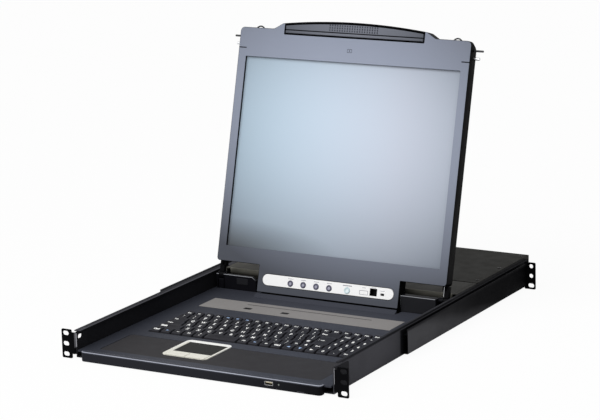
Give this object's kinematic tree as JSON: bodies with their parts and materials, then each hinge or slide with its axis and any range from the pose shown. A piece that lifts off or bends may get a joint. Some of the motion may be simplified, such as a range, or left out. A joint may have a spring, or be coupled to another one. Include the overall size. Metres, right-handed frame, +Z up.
{
  "type": "kvm console drawer",
  "caption": "Flat rack drawer that slides out with a keyboard and touchpad, and folds up a screen; a computer switch box with ports sits at its back.",
  "frame": {"origin": "middle of the footprint at the lower edges of the rack ears", "axes": "+X right, +Y to the back of the rack, +Z up"},
  "size_m": [0.48, 0.6892, 0.439],
  "materials": {
    "sheet_black": "powder coat, fine texture",
    "ear_black": "powder coat, semi-matte",
    "cover_black": "powder coat, fine texture",
    "zinc_steel": "zinc plated",
    "slide_steel": "zinc plated, oiled",
    "screw_black": "black oxide",
    "board_green": "solder mask",
    "supply_case": "plated steel case",
    "inlet_black": "moulded",
    "port_blue": "moulded insulator in a plated shell",
    "rocker_black": "moulded",
    "pan_grey": "powder coat",
    "deck_slate": "fine spark texture",
    "lip_black": "satin",
    "port_shell": "plated",
    "strip_grey": "printed film",
    "window_dark": "tinted",
    "plate_grey": "coated",
    "ivory": "satin",
    "pad_grey": "fine matte",
    "block_black": "moulded",
    "key_black": "fine matte",
    "bezel_grey": "satin gunmetal",
    "shell_black": "fine texture",
    "screen": "anti-glare film",
    "light_tray": "sheet tray and light guide",
    "white_panel": "moulded",
    "insert_grey": "satin",
    "arm_black": "coated",
    "button_violet": "moulded",
    "button_aqua": "translucent",
    "jack_black": "moulded",
    "latch_steel": "plated"
  },
  "bodies": {
    "chassis": {"base_pan": "sheet_black", "left_wall": "sheet_black", "right_wall": "sheet_black", "left_front_ear": "ear_black", "right_front_ear": "ear_black", "ear_screws": "screw_black", "outer_slides": "slide_steel", "box_cover": "cover_black", "rear_panel": "sheet_black", "switch_board": "board_green", "power_supply": "supply_case", "power_inlet": "inlet_black", "rear_ports": "port_blue"},
    "rocker": {"rocker_switch": "rocker_black"},
    "left_rail": {"left_rear_rail": "sheet_black"},
    "right_rail": {"right_rear_rail": "sheet_black"},
    "slide_middles": {"mid_slides": "slide_steel"},
    "drawer": {"drawer_pan": "pan_grey", "inner_slides": "slide_steel", "deck": "deck_slate", "front_lip": "lip_black", "front_usb_port": "port_shell", "info_strip": "strip_grey", "indicator_windows": "window_dark", "keyboard_plate": "plate_grey", "touchpad_frame": "ivory", "touchpad": "pad_grey", "hinge_blocks": "block_black", "rear_cover": "cover_black", "drawer_board": "board_green"},
    "left_touch_button": {"left_touch_button": "ivory"},
    "right_touch_button": {"right_touch_button": "ivory"},
    "function_keys": {"function_keys": "key_black"},
    "number_keys": {"number_keys": "key_black"},
    "upper_keys": {"upper_keys": "key_black"},
    "home_keys": {"home_keys": "key_black"},
    "shift_keys": {"shift_keys": "key_black"},
    "bottom_keys": {"bottom_keys": "key_black"},
    "space_bar": {"space_bar": "key_black"},
    "enter_key": {"enter_key": "key_black"},
    "display": {"lcd_bezel": "bezel_grey", "lcd_back_cover": "shell_black", "lcd_glass": "screen", "lcd_backlight": "light_tray", "control_strip": "white_panel", "handle_insert": "insert_grey", "hinge_arms": "arm_black", "hinge_pins": "zinc_steel", "display_board": "board_green", "control_board": "board_green", "service_port": "jack_black"},
    "menu_button_1": {"menu_button_1": "button_violet"},
    "menu_button_2": {"menu_button_2": "button_violet"},
    "menu_button_3": {"menu_button_3": "button_violet"},
    "menu_button_4": {"menu_button_4": "button_violet"},
    "power_button": {"power_button": "button_aqua"},
    "service_switch": {"service_switch": "jack_black"},
    "left_latch": {"left_latch": "latch_steel"},
    "right_latch": {"right_latch": "latch_steel"}
  },
  "joints": [
    {"name": "drawer_slide", "type": "slide", "parent": "chassis", "child": "drawer", "axis": [0, -1, 0], "range_m": [0, 0.38]},
    {"name": "slide_middle_travel", "type": "slide", "parent": "chassis", "child": "slide_middles", "axis": [0, -1, 0], "range_m": [0, 0.19]},
    {"name": "display_fold", "type": "hinge", "parent": "drawer", "child": "display", "pos_m": [0, 0.0564, 0.036], "axis": [1, 0, 0], "range_deg": [-10, 105.17]},
    {"name": "left_rail_depth", "type": "slide", "parent": "chassis", "child": "left_rail", "axis": [0, 1, 0], "range_m": [-0.15, 0.1]},
    {"name": "right_rail_depth", "type": "slide", "parent": "chassis", "child": "right_rail", "axis": [0, 1, 0], "range_m": [-0.15, 0.1]},
    {"name": "rocker_tip", "type": "hinge", "parent": "chassis", "child": "rocker", "pos_m": [-0.138, 0.3386, 0.02], "axis": [1, 0, 0], "range_deg": [0, 12]},
    {"name": "left_touch_press", "type": "slide", "parent": "drawer", "child": "left_touch_button", "axis": [0, 0, -1], "range_m": [0, 0.0008], "stiffness_N_per_m": 600, "springref_m": -0.001},
    {"name": "right_touch_press", "type": "slide", "parent": "drawer", "child": "right_touch_button", "axis": [0, 0, -1], "range_m": [0, 0.0008], "stiffness_N_per_m": 600, "springref_m": -0.001},
    {"name": "function_keys_press", "type": "slide", "parent": "drawer", "child": "function_keys", "axis": [0, 0, -1], "range_m": [0, 0.002], "stiffness_N_per_m": 800, "springref_m": -0.002},
    {"name": "number_keys_press", "type": "slide", "parent": "drawer", "child": "number_keys", "axis": [0, 0, -1], "range_m": [0, 0.002], "stiffness_N_per_m": 800, "springref_m": -0.002},
    {"name": "upper_keys_press", "type": "slide", "parent": "drawer", "child": "upper_keys", "axis": [0, 0, -1], "range_m": [0, 0.002], "stiffness_N_per_m": 800, "springref_m": -0.002},
    {"name": "home_keys_press", "type": "slide", "parent": "drawer", "child": "home_keys", "axis": [0, 0, -1], "range_m": [0, 0.002], "stiffness_N_per_m": 800, "springref_m": -0.002},
    {"name": "shift_keys_press", "type": "slide", "parent": "drawer", "child": "shift_keys", "axis": [0, 0, -1], "range_m": [0, 0.002], "stiffness_N_per_m": 800, "springref_m": -0.002},
    {"name": "bottom_keys_press", "type": "slide", "parent": "drawer", "child": "bottom_keys", "axis": [0, 0, -1], "range_m": [0, 0.002], "stiffness_N_per_m": 800, "springref_m": -0.002},
    {"name": "space_bar_press", "type": "slide", "parent": "drawer", "child": "space_bar", "axis": [0, 0, -1], "range_m": [0, 0.002], "stiffness_N_per_m": 800, "springref_m": -0.002},
    {"name": "enter_key_press", "type": "slide", "parent": "drawer", "child": "enter_key", "axis": [0, 0, -1], "range_m": [0, 0.002], "stiffness_N_per_m": 800, "springref_m": -0.002},
    {"name": "menu_button_1_press", "type": "slide", "parent": "display", "child": "menu_button_1", "axis": [0, 0.9652, -0.2617], "range_m": [0, 0.001], "stiffness_N_per_m": 500, "springref_m": -0.001},
    {"name": "menu_button_2_press", "type": "slide", "parent": "display", "child": "menu_button_2", "axis": [0, 0.9652, -0.2617], "range_m": [0, 0.001], "stiffness_N_per_m": 500, "springref_m": -0.001},
    {"name": "menu_button_3_press", "type": "slide", "parent": "display", "child": "menu_button_3", "axis": [0, 0.9652, -0.2617], "range_m": [0, 0.001], "stiffness_N_per_m": 500, "springref_m": -0.001},
    {"name": "menu_button_4_press", "type": "slide", "parent": "display", "child": "menu_button_4", "axis": [0, 0.9652, -0.2617], "range_m": [0, 0.001], "stiffness_N_per_m": 500, "springref_m": -0.001},
    {"name": "power_button_press", "type": "slide", "parent": "display", "child": "power_button", "axis": [0, 0.9652, -0.2617], "range_m": [0, 0.001], "stiffness_N_per_m": 500, "springref_m": -0.001},
    {"name": "service_switch_slide", "type": "slide", "parent": "display", "child": "service_switch", "axis": [1, 0, 0], "range_m": [0, 0.0015]},
    {"name": "left_latch_slide", "type": "slide", "parent": "display", "child": "left_latch", "axis": [1, 0, 0], "range_m": [0, 0.008], "stiffness_N_per_m": 300},
    {"name": "right_latch_slide", "type": "slide", "parent": "display", "child": "right_latch", "axis": [-1, 0, 0], "range_m": [0, 0.008], "stiffness_N_per_m": 300}
  ],
  "couplings": [
    {"joint": "slide_middle_travel", "follows": "drawer_slide", "ratio": 0.5}
  ]
}
